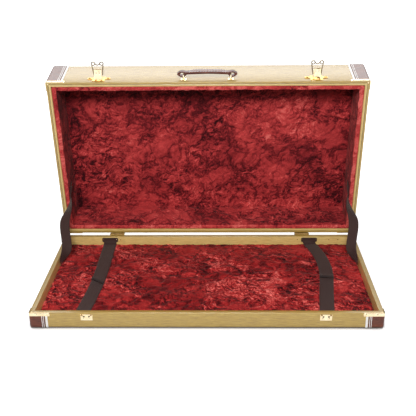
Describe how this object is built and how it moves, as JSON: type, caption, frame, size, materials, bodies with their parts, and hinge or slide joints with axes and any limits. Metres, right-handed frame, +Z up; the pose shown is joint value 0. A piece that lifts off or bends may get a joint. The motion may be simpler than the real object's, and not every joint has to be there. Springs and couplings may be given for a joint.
{
  "type": "guitar case",
  "caption": "Wide rectangular hard case: shallow tray and deep hinged lid with plush linings, webbing stays, tie-down straps, drawbolt latches and a carrying handle.",
  "frame": {"origin": "centre of the tray's flat underside, where the open case rests", "axes": "+X along the case to the viewer's right, +Y from the tray's front wall to its hinges, +Z up"},
  "size_m": [1.0448, 0.7373, 0.6891],
  "materials": {
    "tweed": "plywood board with tan tweed cloth bonded over it",
    "plush": "crushed red plush over padding",
    "leather": "satin brown grain with pale stripes",
    "brass": "polished",
    "steel": "plain",
    "webbing": "dark brown woven strap"
  },
  "bodies": {
    "tray": {"tray_bottom_panel": "tweed", "tray_wall_front": "tweed", "tray_wall_hinge": "tweed", "tray_wall_left": "tweed", "tray_wall_right": "tweed", "tray_lining_pad": "plush", "tray_corner_front_left": "leather", "tray_corner_hinge_left": "leather", "tray_corner_front_right": "leather", "tray_corner_hinge_right": "leather", "tray_bracket_front_left": "brass", "tray_bracket_hinge_left": "brass", "tray_bracket_front_right": "brass", "tray_bracket_hinge_right": "brass", "keeper_left": "brass", "keeper_right": "brass", "hinge_leaf_tray_left": "brass", "hinge_leaf_tray_right": "brass", "hinge_pin_left": "steel", "hinge_pin_right": "steel", "stay_strap_left": "webbing", "stay_strap_right": "webbing", "tie_strap_hinge_left": "webbing", "tie_strap_hinge_right": "webbing", "tie_strap_front_left": "webbing", "tie_strap_front_right": "webbing"},
    "shell": {"shell_back_panel": "tweed", "shell_wall_front": "tweed", "shell_wall_hinge": "tweed", "shell_wall_left": "tweed", "shell_wall_right": "tweed", "shell_lining_back": "plush", "shell_lining_front": "plush", "shell_lining_hinge": "plush", "shell_lining_left": "plush", "shell_lining_right": "plush", "shell_corner_front_left": "leather", "shell_corner_hinge_left": "leather", "shell_corner_front_right": "leather", "shell_corner_hinge_right": "leather", "shell_bracket_front_left": "brass", "shell_bracket_hinge_left": "brass", "shell_bracket_front_right": "brass", "shell_bracket_hinge_right": "brass", "hinge_leaf_shell_left": "brass", "hinge_leaf_shell_right": "brass", "latch_base_left": "brass", "latch_base_right": "brass", "handle_foot_left": "brass", "handle_foot_right": "brass"},
    "latch_lever_left": {"latch_lever_left": "brass"},
    "latch_lever_right": {"latch_lever_right": "brass"},
    "latch_bail_left": {"latch_bail_left": "brass"},
    "latch_bail_right": {"latch_bail_right": "brass"},
    "handle": {"handle_strap": "leather", "handle_link_left": "brass", "handle_link_right": "brass"}
  },
  "joints": [
    {"name": "shell_hinge", "type": "hinge", "parent": "tray", "child": "shell", "pos_m": [0, 0.294, 0.052], "axis": [1, 0, 0], "range_deg": [0, 80], "deforming": ["stay_strap_left", "stay_strap_right"]},
    {"name": "latch_lever_left_hinge", "type": "hinge", "parent": "shell", "child": "latch_lever_left", "pos_m": [-0.351, 0.21124, 0.63651], "axis": [1, 0, 0], "range_deg": [-90, 0]},
    {"name": "latch_bail_left_hinge", "type": "hinge", "parent": "latch_lever_left", "child": "latch_bail_left", "pos_m": [-0.351, 0.21197, 0.64679], "axis": [1, 0, 0], "range_deg": [0, 180]},
    {"name": "latch_lever_right_hinge", "type": "hinge", "parent": "shell", "child": "latch_lever_right", "pos_m": [0.351, 0.21124, 0.63651], "axis": [1, 0, 0], "range_deg": [-90, 0]},
    {"name": "latch_bail_right_hinge", "type": "hinge", "parent": "latch_lever_right", "child": "latch_bail_right", "pos_m": [0.351, 0.21197, 0.64679], "axis": [1, 0, 0], "range_deg": [0, 180]},
    {"name": "handle_swing", "type": "hinge", "parent": "shell", "child": "handle", "pos_m": [0, 0.21368, 0.6342], "axis": [1, 0, 0], "range_deg": [-40, 40]}
  ],
  "couplings": [
    {"joint": "latch_bail_left_hinge", "follows": "latch_lever_left_hinge", "ratio": -2},
    {"joint": "latch_bail_right_hinge", "follows": "latch_lever_right_hinge", "ratio": -2}
  ]
}
